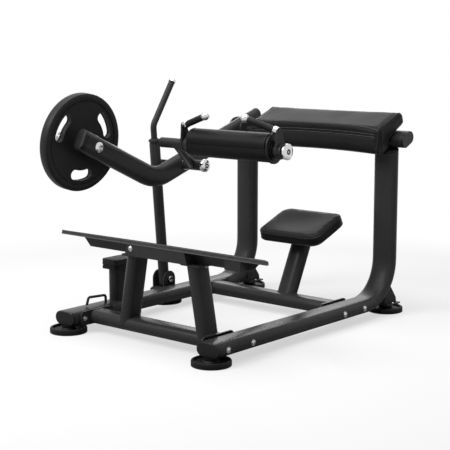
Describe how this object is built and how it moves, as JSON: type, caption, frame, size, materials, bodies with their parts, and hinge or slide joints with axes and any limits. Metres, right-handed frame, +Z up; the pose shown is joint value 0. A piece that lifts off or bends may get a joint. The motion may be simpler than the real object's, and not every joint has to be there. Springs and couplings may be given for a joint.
{
  "type": "glute bridge machine",
  "caption": "Plate-loaded glute bridge machine with a pivoting lever arm, padded hip bar, sloped seat and back pad, ribbed foot platform and a support stick.",
  "frame": {"origin": "on the floor below the middle of the machine's bounding box", "axes": "+Z up, +X towards the side with no lever arm, +Y from the foot platform towards the back pad"},
  "size_m": [1.3364, 1.4512, 1.0893],
  "materials": {
    "frame_paint": "satin powder coat",
    "cap_plastic": "matte",
    "platform_rubber": "ribbed",
    "foot_rubber": "matte",
    "grip_rubber": "fine ribbed",
    "plate_rubber": "moulded satin",
    "upholstery": "leatherette",
    "chrome": "polished",
    "pin_steel": "turned"
  },
  "bodies": {
    "frame": {"side_frame_near": "frame_paint", "side_frame_far": "frame_paint", "rail_cap_near": "cap_plastic", "rail_cap_far": "cap_plastic", "foot_front_near": "foot_rubber", "foot_front_far": "foot_rubber", "foot_rear_near": "foot_rubber", "foot_rear_far": "foot_rubber", "foot_stick": "foot_rubber", "rear_bracket_near": "frame_paint", "rear_bracket_far": "frame_paint", "front_cross_tube": "frame_paint", "mid_cross_tube": "frame_paint", "outrigger": "frame_paint", "stick_clevis": "frame_paint", "clevis_bolt": "chrome", "bumper_post": "frame_paint", "bumper_cap": "foot_rubber", "band_peg": "frame_paint", "platform_post_far": "frame_paint", "platform_post_near": "frame_paint", "foot_platform": "platform_rubber", "platform_bracket": "frame_paint", "seat_cushion": "upholstery", "seat_board": "frame_paint", "seat_post": "frame_paint", "pad_tube": "frame_paint", "pad_tube_cap": "cap_plastic", "back_pad_board": "frame_paint", "back_pad_cushion": "upholstery", "pivot_fork": "frame_paint", "pivot_shaft": "pin_steel"},
    "arm": {"lever_arm": "frame_paint", "arm_cap_front": "cap_plastic", "arm_cap_rear": "cap_plastic", "weight_horn": "pin_steel", "horn_bolt": "chrome", "yoke_pin": "pin_steel", "yoke_pin_cap": "chrome"},
    "plate": {"weight_plate": "plate_rubber"},
    "yoke": {"yoke_sleeve": "frame_paint", "yoke_brace": "frame_paint", "yoke_bar": "frame_paint", "hip_pad": "upholstery", "hip_saddle": "upholstery", "hip_shell_far": "cap_plastic", "hip_shell_near": "cap_plastic", "grip_bracket_far": "frame_paint", "grip_bracket_near": "frame_paint", "grip_ring_far": "chrome", "grip_ring_near": "chrome", "grip_far": "grip_rubber", "grip_near": "grip_rubber", "grip_ball_far": "chrome", "grip_ball_near": "chrome", "hip_end_cap": "chrome"},
    "stick": {"stick_tube": "frame_paint", "stick_rod": "frame_paint", "stick_knob": "chrome"}
  },
  "joints": [
    {"name": "arm_hinge", "type": "hinge", "parent": "frame", "child": "arm", "pos_m": [-0.43379, 0.58838, 0.8165], "axis": [-1, 0, 0], "range_deg": [0, 22]},
    {"name": "yoke_hinge", "type": "hinge", "parent": "arm", "child": "yoke", "pos_m": [-0.34329, 0.12538, 0.68], "axis": [-1, 0, 0], "range_deg": [0, 35]},
    {"name": "stick_hinge", "type": "hinge", "parent": "frame", "child": "stick", "pos_m": [-0.49679, 0.06588, 0.12], "axis": [1, 0, 0], "range_deg": [0, 15]},
    {"name": "plate_slide", "type": "slide", "parent": "arm", "child": "plate", "axis": [-0.9945, 0, 0.1045], "range_m": [0, 0.2]}
  ]
}
